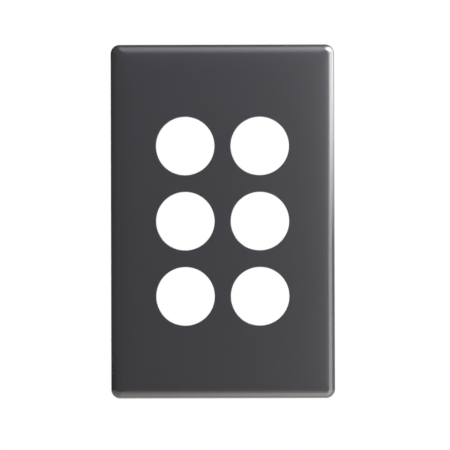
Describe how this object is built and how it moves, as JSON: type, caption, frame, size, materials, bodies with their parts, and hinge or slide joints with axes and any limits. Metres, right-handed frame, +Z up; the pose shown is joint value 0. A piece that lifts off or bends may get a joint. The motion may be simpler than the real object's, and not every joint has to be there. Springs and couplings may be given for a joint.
{
  "type": "switch cover plate",
  "caption": "Dark grey rectangular cover plate with soft rounded edges and round button openings in rows; clips over the grid plate of a wall switch.",
  "frame": {"origin": "centre of the plate in the plane of its rear rim, where it meets the wall", "axes": "+Z up the wall along the plate's long side, +X to the right seen from the front, +Y into the wall, so the front faces -Y"},
  "size_m": [0.076, 0.009, 0.12],
  "materials": {
    "grey_plastic": "satin-gloss dark grey, front and sides smooth, back fine matt"
  },
  "bodies": {
    "root": {"cover_plate": "grey_plastic"}
  },
  "joints": []
}
